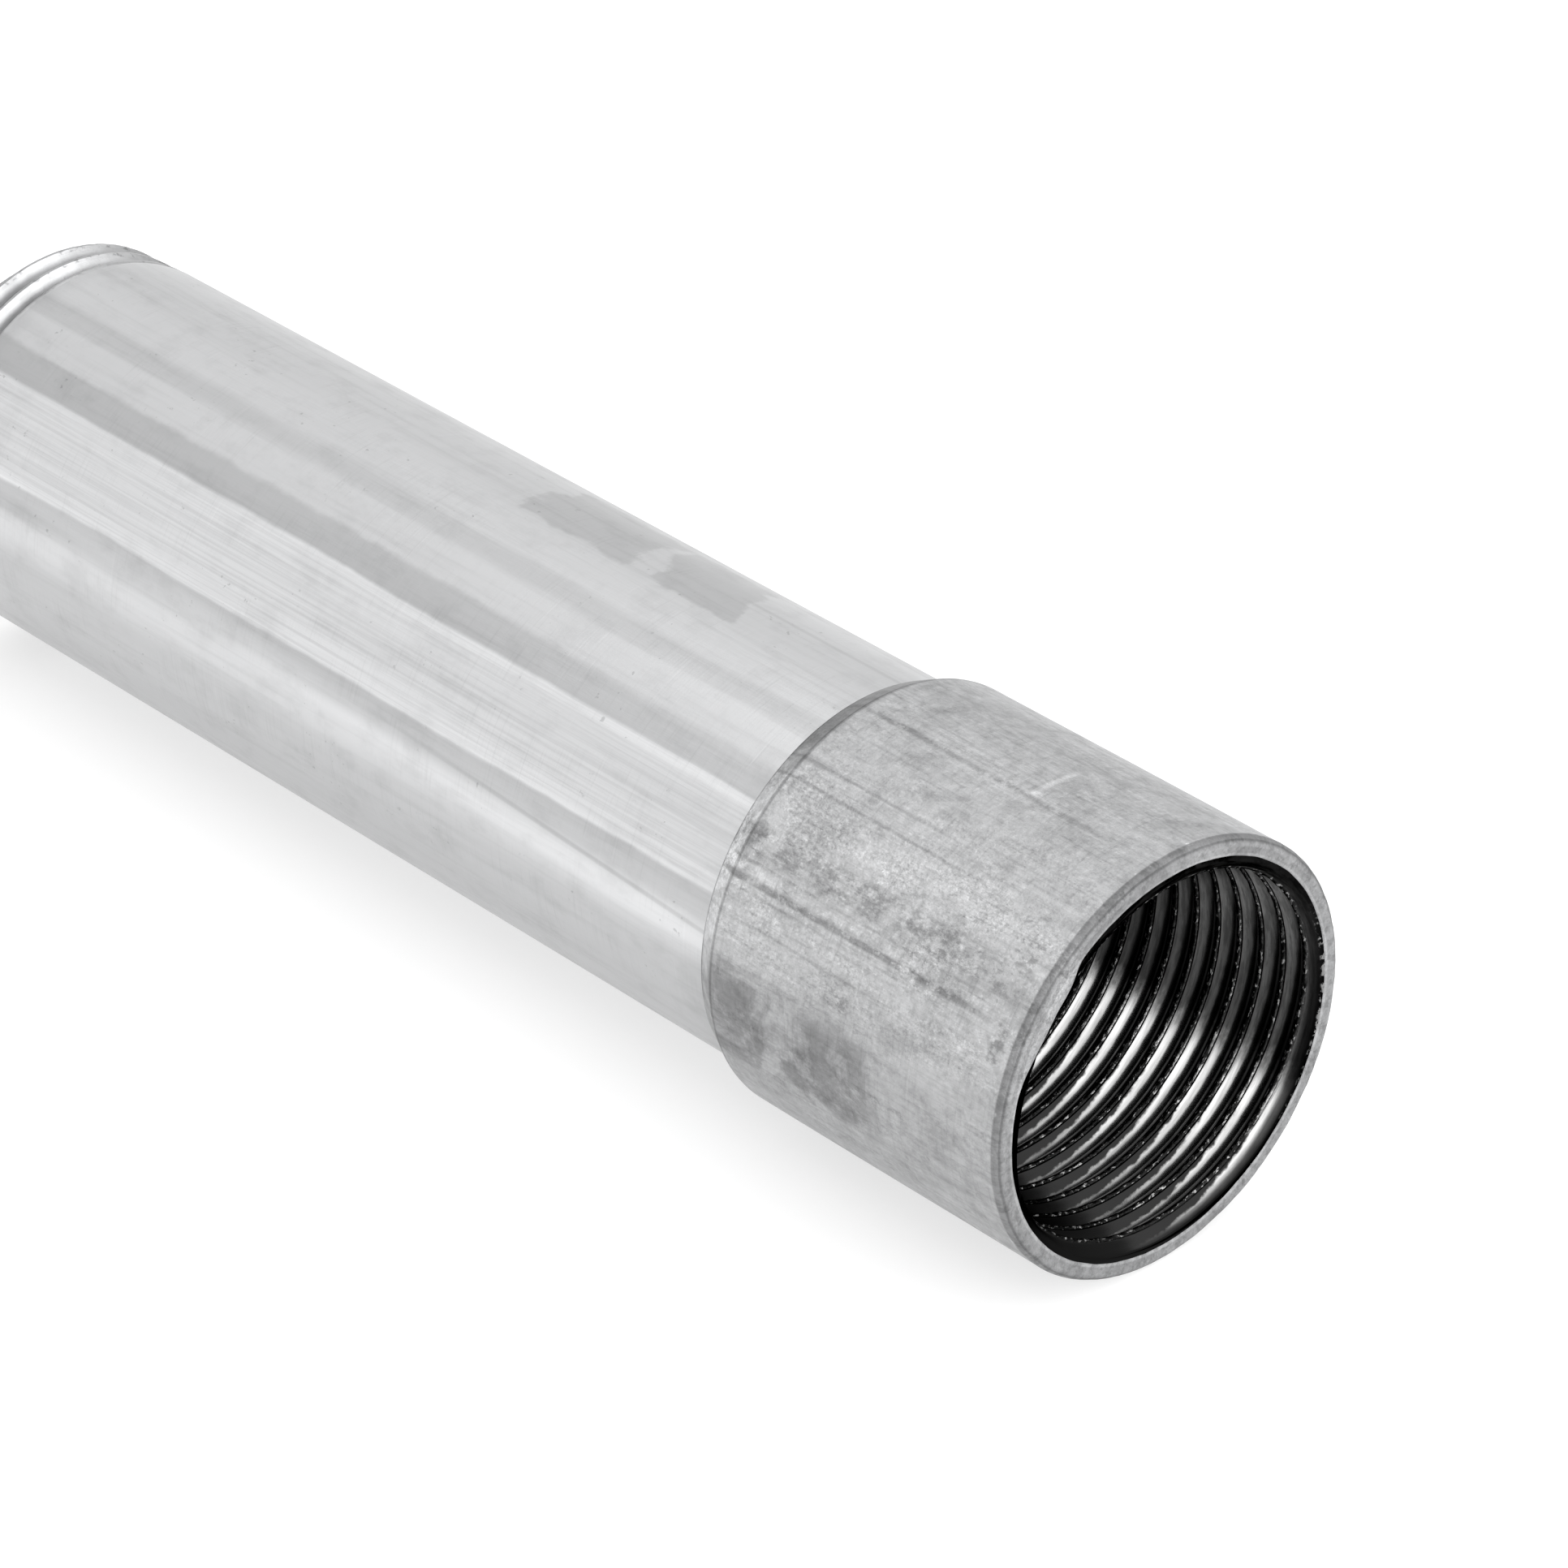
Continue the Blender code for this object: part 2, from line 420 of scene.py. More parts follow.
def pipe_patches(s, grey, x):
    """Dull patches near the top, and a thin line beside them."""
    ragged = s.calc("MULTIPLY_ADD", s.cloud(s.spot, 0.38, 5.0, 0.6), 4.4, -2.2)
    side = s.calc("MULTIPLY_ADD", ragged, 1.8, s.around)
    across = s.band(side, PATCH_ANGLE, PATCH_HALF_WIDTH, 2.0)
    for middle, half, slant in PIPE_PATCHES:
        along = s.calc("ADD", s.calc("MULTIPLY_ADD", s.around, -slant, x), ragged)
        patch = s.both(s.band(along, middle - slant * SLANT_PIVOT, half, 0.7), across)
        grey = s.darken(grey, patch, 0.17)
    thin_line = s.both(s.band(s.around, 75.0, 0.3, 0.9), s.step(x, -42.0, -39.0))
    return s.darken(grey, thin_line, 0.12)


def pipe_wear(s, grey, x, rings, blotch):
    """Scratches round the pipe, drawing marks along it, specks, clouds, and grime with painted shade by the
    coupling.
    """
    scuffed = s.step(s.cloud(s.stretched(0.12, 0.3, 77.0), 1.0, 3.0), 0.40, 0.62)
    grey = s.darken(grey, s.both(scuffed, s.step(rings, 0.50, 0.72)), 0.09)
    grey = s.darken(grey, s.step(rings, 0.42, 0.28), -0.04)
    drawn = s.cloud(s.stretched(0.06, 1.6, 19.0), 1.0, 5.0, 0.65)
    grey = s.darken(grey, s.step(drawn, 0.45, 0.75), 0.09)
    speckled = s.step(s.cloud(s.spot, 0.22, 2.0), 0.52, 0.60)
    specks = s.step(s.cloud(s.spot, 1.9, 3.0), 0.66, 0.72)
    grey = s.darken(grey, s.both(speckled, specks), 0.25)
    grey = s.darken(grey, s.step(blotch, 0.46, 0.72), 0.09)
    # Grime and painted shade beside the coupling, past 150 degrees round the axis.
    corner = s.step(x, -29.5, -COUPLING_LENGTH / MM)
    return s.darken(grey, s.both(corner, s.step(s.around, 150.0, 195.0)), 0.10)


def free_thread(s, grey, blotch):
    """The free end's thread was cut through the zinc: bare steel with darker grooves and torn crests."""
    end = FREE_THREAD_REACH - PIPE_LENGTH / MM
    cut = s.step(s.calc("MULTIPLY_ADD", blotch, 0.8, s.x), end + 0.4, end)
    lathe = s.cloud(s.stretched(9.0, 0.4, 23.0), 1.0, 4.0, 0.7)
    grey = s.darken(grey, s.both(cut, s.calc("MULTIPLY_ADD", lathe, 1.2, -0.1)), 0.42)
    radius = s.radius()
    groove = s.step(s.calc("MULTIPLY_ADD", lathe, 0.3, radius), FREE_CREST, FREE_GROOVE)
    grey = s.darken(grey, s.both(cut, groove), 0.52)
    torn = s.step(s.cloud(s.stretched(3.2, 1.6, 41.0), 1.0, 3.0, 0.6), 0.54, 0.64)
    crest = s.step(radius, FREE_CREST - 0.10, FREE_CREST)
    return s.darken(grey, s.both(cut, torn, crest), 0.35)


def pipe_zinc():
    """Bright drawn zinc: soft lengthwise bands of painted reflection, a scarfed seam with fine streaks, and
    round scratches.
    """
    s = Shade("pipe_zinc_bright")
    x = s.calc("SUBTRACT", s.x, SOCKET_DEPTH / MM)
    wander = s.calc("MULTIPLY_ADD", s.cloud(s.stretched(0.07, 0.10, 40.0), 1.0, 4.0), 4.0, -2.0)
    around = s.calc("ADD", s.around, wander)
    broad = s.cloud(s.stretched(0.02, 0.25), 1.0, 3.0)
    rings = s.cloud(s.stretched(5.0, 0.16, 3.0), 1.0, 5.0, 0.7)
    blotch = s.cloud(s.stretched(0.30, 0.45, 12.0), 1.0, 6.0, 0.62)

    grey = s.calc("MULTIPLY_ADD", broad, 0.10, 0.56)
    grey = pipe_reflection_bands(s, grey, x, around)
    grey = pipe_seam(s, grey, x, around)
    grey = pipe_painted_shade(s, grey)
    grey = pipe_patches(s, grey, x)
    grey = pipe_wear(s, grey, x, rings, blotch)
    grey = free_thread(s, grey, blotch)

    roughness = s.calc("MULTIPLY_ADD", blotch, 0.14, 0.30)
    fine = s.cloud(s.stretched(0.4, 5.0, 5.0), 1.0, 4.0, 0.6)
    relief = s.calc("ADD", s.calc("MULTIPLY", rings, 0.5), s.calc("MULTIPLY", fine, 0.5))
    return s.metal(grey, ZINC_TINT, roughness, relief, 0.02)


def coupling_grain(s, grey, grain):
    """Grain that is clearest on the side towards 125 degrees, which is lighter as a painted lit side, and
    painted shade on the underside.
    """
    lit_side = s.both(s.step(s.around, 100.0, 134.0), s.step(s.around, 152.0, 176.0, 1.0, 0.0))
    grainy = s.calc("MULTIPLY_ADD", lit_side, 0.62, 0.48)
    patchy = s.step(s.cloud(s.stretched(0.16, 0.40, 83.0), 1.0, 4.0, 0.6), 0.40, 0.62, 0.45, 1.65)
    grain_level = s.calc("MULTIPLY", s.calc("SUBTRACT", grain, 0.5), s.both(grainy, patchy))
    grey = s.calc("MULTIPLY", grey, s.calc("ADD", grain_level, 1.0))
    # Painted light: the side towards 125 degrees is lighter.
    grey = s.darken(grey, lit_side, -0.20)
    grey = s.darken(grey, s.band(s.around, 112.0, 8.0, 14.0), 0.13)
    # Painted shade on the underside.
    lower = s.both(s.step(s.around, 165.0, 182.0), s.step(s.around, *UNDERSIDE_SHADE_ENDS, 1.0, 0.0))
    grey = s.darken(grey, lower, 0.12)
    frost = s.step(s.cloud(s.spot, 3.1, 4.0, 0.65, 0.4), 0.56, 0.66)
    grey = s.darken(grey, s.both(frost, s.calc("MULTIPLY_ADD", lit_side, 0.7, 0.3)), -0.17)
    pits = s.step(s.cloud(s.stretched(2.2, 2.9, 66.0), 1.0, 4.0, 0.65, 0.4), 0.57, 0.66)
    pitted = s.both(pits, s.calc("MULTIPLY_ADD", lit_side, 0.6, 0.4), patchy)
    return s.darken(grey, pitted, 0.15)


def coupling_streaks(s, grey):
    """Broken lengthwise streaks, a pitted band with a wiped strip under it, marks, and drawing lines."""
    wiggle = s.calc("MULTIPLY_ADD", s.cloud(s.stretched(0.6, 0.3, 21.0), 1.0, 3.0), 1.2, -0.6)
    around = s.calc("ADD", s.around, wiggle)
    dashes = s.cloud(s.stretched(0.75, 0.8, 31.0), 1.0, 6.0, 0.75)
    body = s.step(s.x, -1.1, -1.9)
    for angle, half, soft, amount, broken, dies in STREAKS:
        line = s.both(s.band(around, angle, half, soft), s.step(dashes, broken, broken + 0.13), body)
        grey = s.darken(grey, s.both(line, s.step(s.x, dies, dies - 5.0)), amount)

    specks = s.step(s.cloud(s.stretched(1.1, 1.9, 53.0), 1.0, 6.0, 0.72), 0.45, 0.58)
    crowded = s.step(s.cloud(s.stretched(0.50, 0.3, 18.0), 1.0, 3.0, 0.6), 0.30, 0.50)
    pitted = s.both(specks, crowded, s.band(around, 139.8, 2.6, 2.6), body)
    grey = s.darken(grey, pitted, 0.32)
    wiped = s.both(s.band(around, 147.1, 0.9, 0.6), s.step(s.x, -17.0, -23.0))
    grey = s.darken(grey, wiped, -0.14)
    rubbed = s.both(s.band(around, 147.1, 0.4, 0.7), body, s.step(dashes, 0.5, 0.65))
    grey = s.darken(grey, rubbed, -0.16)

    for middle, half, angle, reach in MARKS:
        mark = s.both(s.band(s.x, middle, half, 0.5), s.band(around, angle, reach, 1.5), specks)
        grey = s.darken(grey, mark, 0.36)
    drawn = s.cloud(s.stretched(0.16, 3.4, 47.0), 1.0, 6.0, 0.75)
    grey = s.darken(grey, s.step(drawn, 0.46, 0.66), 0.15)
    return s.darken(grey, s.step(drawn, 0.44, 0.30), -0.10)


def coupling_stains(s, grey, mottle):
    """Stains on the lower side, towards the back, and clouds, smudges and dark marks all round."""
    stain_shape = s.cloud(s.stretched(0.24, 0.24, 55.0), 1.0, 7.0, 0.62, 0.8)
    stained = s.both(s.band(s.around, 186.0, 9.0, 9.0), s.step(s.x, -12.5, -9.5, 1.0, 0.0))
    grey = s.darken(grey, s.both(stained, s.step(stain_shape, 0.38, 0.54)), 0.40)
    clouds = s.step(s.cloud(s.stretched(0.22, 0.3, 91.0), 1.0, 7.0, 0.66, 0.6), 0.47, 0.70)
    grey = s.darken(grey, clouds, 0.22)
    smudge = s.step(s.cloud(s.stretched(0.7, 1.1, 34.0), 1.0, 6.0, 0.7, 0.5), 0.50, 0.64)
    grey = s.darken(grey, smudge, 0.12)
    marks = s.step(s.cloud(s.spot, 1.3, 4.0, 0.6), 0.64, 0.70)
    return s.darken(grey, s.both(marks, s.step(mottle, 0.45, 0.60)), 0.22)


def coupling_scratches(s, grey):
    """Fine scratches round the sleeve, and one bright nick near the top."""
    rings = s.cloud(s.stretched(4.5, 0.22, 14.0), 1.0, 5.0, 0.72)
    grey = s.darken(grey, s.step(rings, 0.50, 0.74), 0.16)
    grey = s.darken(grey, s.step(rings, 0.42, 0.26), -0.10)
    nick = s.both(s.band(s.x, -10.7, 0.10, 0.25), s.band(s.around, 88.0, 6.0, 3.0))
    return s.darken(grey, nick, -0.30)


def coupling_back(s, grey):
    """Dark lines of painted shade and dirt at both ends of the back taper, which is lighter below and has
    painted shade above.
    """
    back = -COUPLING_LENGTH / MM
    taper = s.step(s.x, back + BACK_TAPER + 0.04, back + BACK_TAPER - 0.06)
    # Painted shade and dirt: a dark line where the taper begins.
    grey = s.darken(grey, s.band(s.x, back + BACK_TAPER, 0.06, 0.16), 0.34)
    rubbed = s.both(s.step(s.around, 112.0, 126.0), s.step(s.around, 260.0, 300.0, 1.0, 0.0))
    top_shade = s.both(s.step(s.around, 122.0, 108.0), s.step(s.around, 12.0, 50.0))
    grey = s.darken(grey, s.both(taper, rubbed), -0.22)
    # Painted shade on the top of the taper.
    grey = s.darken(grey, s.both(taper, top_shade), 0.38)
    # Painted shadow in the gap between the back edge and the pipe.
    return s.darken(grey, s.step(s.x, back + 0.20, back + 0.02), 0.50)


def coupling_front(s, grey):
    """Dark lines round the front edge, with painted shade above, a painted highlight on the inner edge, a
    few ticks and a fretted face.
    """
    rounding = s.band(s.x, -FRONT_ROUNDING, 0.20, 0.18)
    grey = s.darken(grey, rounding, 0.30)
    # Painted shade on the top of the front rounding.
    grey = s.darken(grey, s.both(rounding, s.step(s.z, 0.0, 6.0)), 0.22)
    grey = s.darken(grey, s.step(s.x, -0.12, -0.06), 0.10)
    grey = s.darken(grey, s.band(s.x, -0.13, 0.02, 0.05), 0.30)
    # Painted highlight on the mouth's inner edge.
    inner_edge = s.both(s.step(s.radius(), INNER_EDGE + 0.12, INNER_EDGE), s.step(s.x, -0.4, -0.1))
    grey = s.darken(grey, inner_edge, -0.28)
    ticks = s.step(s.cloud(s.stretched(1.2, 0.9, 29.0), 1.0, 3.0, 0.6), 0.60, 0.66)
    grey = s.darken(grey, s.both(ticks, s.band(s.x, -0.62, 0.10, 0.12)), -0.45)
    fretted = s.step(s.cloud(s.stretched(0.8, 1.3, 37.0), 1.0, 4.0, 0.7), 0.50, 0.60)
    return s.darken(grey, s.both(fretted, s.step(s.x, -0.9, -0.4)), 0.20)


def coupling_zinc():
    """Dull hot-dip zinc: grainy mottling, broken dark streaks along it, stains and fine scratches."""
    s = Shade("coupling_zinc_dull")
    broad = s.cloud(s.stretched(0.10, 0.22), 1.0, 3.0)
    mottle = s.cloud(s.spot, 1.1, 7.0, 0.74)
    grain = s.cloud(s.stretched(3.4, 4.4, 2.0), 1.0, 4.0, 0.78)

    grey = s.calc("MULTIPLY_ADD", broad, 0.10, 0.40)
    grey = s.calc("MULTIPLY", grey, s.calc("MULTIPLY_ADD", mottle, 0.8944, 0.6032))
    grey = coupling_grain(s, grey, grain)
    grey = coupling_streaks(s, grey)
    grey = coupling_stains(s, grey, mottle)
    grey = coupling_scratches(s, grey)
    grey = coupling_back(s, grey)
    grey = coupling_front(s, grey)

    roughness = s.calc("MULTIPLY_ADD", mottle, 0.28, s.step(s.x, -0.9, -0.5, 0.36, 0.52))
    relief = s.calc("ADD", s.calc("MULTIPLY", mottle, 0.5), s.calc("MULTIPLY", grain, 0.5))
    return s.metal(grey, ZINC_TINT, roughness, relief, 0.07)


def painted_flank_light(s, turned, torn, in_sight):
    """1 on the lit part of each ridge's flank, where a highlight is painted, from a torn edge that moves
    round the helix to the groove.
    """
    turns = s.calc("MULTIPLY_ADD", s.x, MM / PITCH, -FIRST_RIDGE / PITCH)
    place = s.calc("FRACT", s.calc("MULTIPLY_ADD", s.around, -1 / 360, turns))
    ragged = s.calc("MULTIPLY_ADD", torn, 0.20, s.calc("SUBTRACT", place, 0.10))
    leading = s.calc("MAXIMUM", s.calc("MULTIPLY_ADD", turned, -0.0054, 0.82), 0.07)
    outer = s.step(s.calc("SUBTRACT", ragged, leading), 0.0, 0.07)
    inner = s.step(s.calc("MULTIPLY_ADD", torn, 0.06, place), 0.18, 0.58, 1.0, 0.0)
    return s.both(outer, inner, in_sight)


def thread_shade(s, grey, turned, torn, in_sight):
    """Painted shade on the flanks past 150 degrees, which are darker and streaky and darkest deep inside,
    and a dark wall near the mouth.
    """
    # Painted shade on the flanks past 150 degrees, where only the floor lights them.
    shaded = s.both(s.step(s.calc("MULTIPLY_ADD", torn, 10.0, turned), 150.0, 160.0), in_sight)
    grey = s.darken(grey, shaded, s.step(turned, 165.0, 205.0, 0.82, 0.66))
    streaky = s.step(s.cloud(s.stretched(7.0, 0.5, 71.0), 1.0, 4.0, 0.7), 0.42, 0.60)
    grey = s.darken(grey, s.both(shaded, streaky), 0.40)
    grey = s.darken(grey, s.both(shaded, s.step(s.x, -9.0, -15.0)), 0.45)
    return s.darken(grey, s.step(s.x, -0.85, -0.55), 0.80)


def thread_low_shade(s, grey, turned, torn, in_sight):
    """Painted shade on the low side, which reaches further round near the mouth and is palest there."""
    shore = s.calc("MAXIMUM", s.calc("MULTIPLY_ADD", s.x, 10.0, 102.0), 78.0)
    wavy = s.calc("MULTIPLY_ADD", torn, 10.0, s.calc("SUBTRACT", turned, 5.0))
    low_shade = s.both(s.step(s.calc("SUBTRACT", wavy, shore), 10.0, -12.0), in_sight)
    # Painted shade on the low side of the thread.
    grey = s.darken(grey, low_shade, 0.80)
    paler_by_mouth = s.both(low_shade, s.step(s.x, -4.5, -1.5))
    # The painted shade is a little paler near the mouth.
    return s.calc("MULTIPLY_ADD", paler_by_mouth, 0.012, grey)


def cut_thread():
    """The coupling's thread: smooth flanks with a painted highlight, a torn edge on each ridge, and dark
    grooves of painted shade between.

    turned is the angle round the axis from -Y.  in_sight fades the painted highlight on the flanks and the
    painted shade to nothing on the side where that angle wraps from 360 degrees to 0, so that no edge shows
    there.
    """
    s = Shade("cut_thread_steel")
    turned = s.calc("MODULO", s.calc("ADD", s.around, 180.0), 360.0)
    off_middle = s.calc("ABSOLUTE", s.calc("SUBTRACT", turned, 180.0))
    in_sight = s.step(off_middle, 180.0, 140.0)
    torn = s.cloud(s.stretched(2.0, 1.0, 3.0), 1.0, 4.0, 0.65)
    turning = s.cloud(s.stretched(6.0, 0.30, 8.0), 1.0, 4.0, 0.65)

    # How bright the painted highlight is, brighter past 132 degrees.
    level = s.calc("MULTIPLY_ADD", turning, 0.50, s.step(turned, 60.0, 132.0, -0.08, 0.08))
    flank = painted_flank_light(s, turned, torn, in_sight)
    # Near black painted shade, with the painted highlight on the lit part of each flank.
    grey = s.calc("MULTIPLY_ADD", flank, level, GROOVE_SHADE_GREY)
    grey = thread_shade(s, grey, turned, torn, in_sight)
    grey = thread_low_shade(s, grey, turned, torn, in_sight)

    # Bright beads of torn steel along the edges of the ridges, and on the ragged lip.
    beads = s.cloud(s.stretched(5.5, 2.3, 61.0), 1.0, 3.0, 0.6)
    tops = s.step(s.radius(), RIDGE_TOP + 0.10, RIDGE_TOP)
    on_lip = s.both(s.step(s.x, -0.26, -0.12), s.band(turned, 168.0, 24.0, 16.0))
    burr = s.both(on_lip, s.step(beads, 0.52, 0.60))
    beaded = s.calc("ADD", s.both(tops, s.step(beads, 0.55, 0.64)), burr)
    grey = s.calc("MULTIPLY_ADD", beaded, 0.24, grey)

    s.shader.inputs["Specular Tint"].default_value = THREAD_GLANCE
    roughness = s.calc("MULTIPLY_ADD", tops, 0.14, 0.17)
    return s.metal(grey, STEEL_TINT, roughness, s.both(tops, beads), 0.10)


def bore_zinc():
    """The pipe's bore: duller zinc with runs along it."""
    s = Shade("bore_zinc")
    runs = s.cloud(s.stretched(0.05, 0.9, 5.0), 1.0, 5.0, 0.6)
    mottle = s.cloud(s.spot, 0.7, 5.0, 0.65)
    grey = s.calc("MULTIPLY_ADD", runs, 0.20, 0.18)
    grey = s.calc("MULTIPLY", grey, s.calc("MULTIPLY_ADD", mottle, 0.8, 0.6))
    return s.metal(grey, ZINC_TINT, s.calc("MULTIPLY_ADD", runs, 0.2, 0.35), runs, 0.05)


# ---------------------------------------------------------------- coupling

# The sleeve's sizes.  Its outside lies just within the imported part's.
SLEEVE_RADIUS = COUPLING_RADIUS - 0.02 * MM
FRONT_EDGE = 0.55 * MM
TAPER_LENGTH = 1.52 * MM
BACK_EDGE_RADIUS = 13.70 * MM
RECESS_RADIUS = 13.50 * MM
RECESS_DEPTH = 2.5 * MM
MOUTH_RADIUS = 13.24 * MM
RIDGE_RADIUS = 12.30 * MM
GROOVE_RADIUS = 13.27 * MM
FACE_RADII = (13.32 * MM, 13.55 * MM, 13.80 * MM)
SLEEVE_ROWS = 44

# The lip on the mouth's inner edge: where it is thickest, and how far it reaches before and after.
LIP_ANGLE = 139.0
LIP_BEFORE = 10.0
LIP_AFTER = 19.0
LIP_HEIGHT = 0.72 * MM

# Each form is a list of (place along one pitch, height there).  Inside, 0 is the ridge and 1 the groove.
INNER_FORM = [
    (0.00, 0.00),
    (0.04, -0.02),
    (0.09, 0.02),
    (0.13, 0.13),
    (0.19, 0.28),
    (0.27, 0.44),
    (0.36, 0.64),
    (0.45, 0.84),
    (0.51, 0.96),
    (0.58, 1.00),
    (0.66, 0.97),
    (0.72, 0.80),
    (0.82, 0.44),
    (0.93, 0.06),
]
RING_FORM = [(0.0, 1.0), (0.125, 1.0), (0.5, 0.0), (0.625, 0.0)]


def dents(x):
    """Shallow dents in a circle of the sleeve at x."""
    def wobble(angle):
        turn = angle / (2 * math.pi)
        return 0.0, 0.018 * MM * rough(x, turn, 7 * MM, 3.0) - 0.018 * MM
    return wobble


def nicks(size, depth, seed):
    """Nicks of a size and a greatest depth along an edge."""
    def wobble(angle):
        turn = angle / (2 * math.pi)
        small = rough(0.0, turn, size, seed) + 0.5 * rough(0.0, turn, size / 3, seed + 9)
        return -depth * abs(small), -0.5 * depth * abs(small)
    return wobble


def face_wave(angle):
    """The mouth's face is slightly uneven."""
    turn = angle / (2 * math.pi)
    return -0.03 * MM - 0.03 * MM * rough(0.0, turn, 5 * MM, 12.0), 0.0


def lip(angle):
    """The inner edge of the mouth, with a ragged lip where the first ridge runs out."""
    turn = angle / (2 * math.pi)
    away = math.degrees(angle) - LIP_ANGLE
    reach = LIP_BEFORE if away < 0 else LIP_AFTER
    lump = math.exp(-((away / reach) ** 4))
    ragged = 0.035 * MM * rough(0.0, turn, 1.2 * MM, 33.0)
    return -0.02 * MM, ragged - LIP_HEIGHT * lump


def ring_radius(x, turn, height):
    """Radius of the grooves round the pipe's end."""
    return RIDGE_RADIUS + height * (GROOVE_RADIUS - RIDGE_RADIUS)


def inner_radius(x, turn, height):
    """Radius of the open thread, with burrs on its ridges and a countersunk mouth."""
    burr = 0.0
    if height < 0.10:
        lumps = rough(x, turn, 0.55 * MM, 71.0) + 0.6 * rough(x, turn, 1.6 * MM, 5.0)
        burr = -0.07 * MM * max(0.0, lumps + 0.1)
    threaded = RIDGE_RADIUS + height * (GROOVE_RADIUS - RIDGE_RADIUS) + burr
    return max(threaded, MOUTH_RADIUS + 3.0 * x)


def coupling_mouth(skin):
    """Circles from the mouth's inner edge over its face and round its front edge."""
    front = []
    for x, radius in arc(-FRONT_EDGE, SLEEVE_RADIUS - FRONT_EDGE, FRONT_EDGE, 0, 90, 6):
        front.append(skin.ring(x, radius, nicks(2.5 * MM, 0.05 * MM, 5.0)))
    face = [skin.ring(0.0, radius, face_wave) for radius in FACE_RADII]
    inner_edge = skin.ring(-0.06 * MM, MOUTH_RADIUS, lip)
    return [inner_edge, *face, *front]


def coupling_side(skin):
    """Circles along the sleeve's side, with dents."""
    start_x = -FRONT_EDGE - 0.2 * MM
    end_x = -COUPLING_LENGTH + TAPER_LENGTH + 0.12 * MM
    side = []
    for row in range(SLEEVE_ROWS + 1):
        x = start_x + (end_x - start_x) * row / SLEEVE_ROWS
        side.append(skin.ring(x, SLEEVE_RADIUS, dents(x)))
    return side


def coupling_rear(skin):
    """Circles down the back taper, over the back edge and into the recess round the pipe."""
    back = -COUPLING_LENGTH
    drop = SLEEVE_RADIUS - BACK_EDGE_RADIUS
    taper_start = skin.ring(
        back + TAPER_LENGTH - 0.05 * MM,
        SLEEVE_RADIUS - 0.06 * MM,
        nicks(4 * MM, 0.02 * MM, 2.0),
    )
    taper_middle = skin.ring(back + 0.5 * TAPER_LENGTH, SLEEVE_RADIUS - 0.52 * drop)
    taper_end = skin.ring(
        back + 0.08 * MM,
        BACK_EDGE_RADIUS + 0.03 * MM,
        nicks(3 * MM, 0.05 * MM, 8.0),
    )
    back_edge = skin.ring(back, BACK_EDGE_RADIUS - 0.02 * MM)
    recess_edge = skin.ring(back, RECESS_RADIUS)
    recess_end = skin.ring(back + RECESS_DEPTH, RECESS_RADIUS)
    return [taper_start, taper_middle, taper_end, back_edge, recess_edge, recess_end]


def make_coupling():
    """The sleeve, from its mouth at the local origin to its back at -X."""
    skin = Skin()
    mouth = coupling_mouth(skin)
    side = coupling_side(skin)
    rear = coupling_rear(skin)
    joined = skin.thread(
        -COUPLING_LENGTH + RECESS_DEPTH,
        -SOCKET_DEPTH + 0.8 * MM,
        FIRST_RING - SOCKET_DEPTH,
        RING_FORM,
        ring_radius,
        1,
        0,
    )
    bright = skin.thread(
        -SOCKET_DEPTH + 1.1 * MM,
        -0.1 * MM,
        FIRST_RIDGE,
        INNER_FORM,
        inner_radius,
        1,
    )
    skin.bridge([*mouth, *side, *rear, joined[0]])
    skin.bridge([joined[1], bright[0]], 1)
    skin.bridge([bright[1], mouth[0]], 1)
    return skin.finish("coupling_sleeve", COUPLING_HIGH.x, [coupling_zinc(), cut_thread()])


# ---------------------------------------------------------------- pipe

# The wall's sizes.  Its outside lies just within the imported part's.
WALL_RADIUS = PIPE_RADIUS - 0.012 * MM
BORE_RADIUS = 10.465 * MM
BORE_CHAMFER = 0.4 * MM
FREE_CREST_RADIUS = 13.12 * MM
JOINED_CREST_RADIUS = 12.80 * MM
END_CHAMFER_RADIUS = 11.9 * MM
THREAD_DEPTH = 1.05 * MM
THREAD_TAPER = 1 / 32
THREAD_LENGTH = 4.9 * MM
RUN_OUT = 5.6 * MM
WALL_ROWS = 70

OUTER_FORM = [
    (0.00, 1.00),
    (0.06, 1.00),
    (0.12, 1.00),
    (0.20, 0.80),
    (0.35, 0.42),
    (0.47, 0.10),
    (0.53, 0.01),
    (0.60, 0.00),
    (0.66, 0.04),
    (0.75, 0.30),
    (0.87, 0.68),
    (0.96, 0.94),
]


def outer_thread_radius(crest_at_end, distance, height, burr):
    """Radius of the pipe's thread at a distance from its end, where it is chamfered, to its run-out."""
    crest = min(crest_at_end + THREAD_TAPER * distance, WALL_RADIUS)
    cut = THREAD_DEPTH * (1 - height)
    fade = max(0.0, min(1.0, (RUN_OUT - distance) / (RUN_OUT - THREAD_LENGTH)))
    return min(crest - cut * fade + burr, END_CHAMFER_RADIUS + distance)


def free_radius(x, turn, height):
    """Radius of the free end's thread, with torn crests."""
    torn = 0.03 * MM * rough(x, turn, 0.5 * MM, 17.0) if height > 0.9 else 0.0
    return outer_thread_radius(FREE_CREST_RADIUS, x + PIPE_LENGTH, height, min(torn, 0.0))


def joined_radius(x, turn, height):
    """Radius of the rings on the joined end."""
    return outer_thread_radius(JOINED_CREST_RADIUS, -x, height, 0.0)


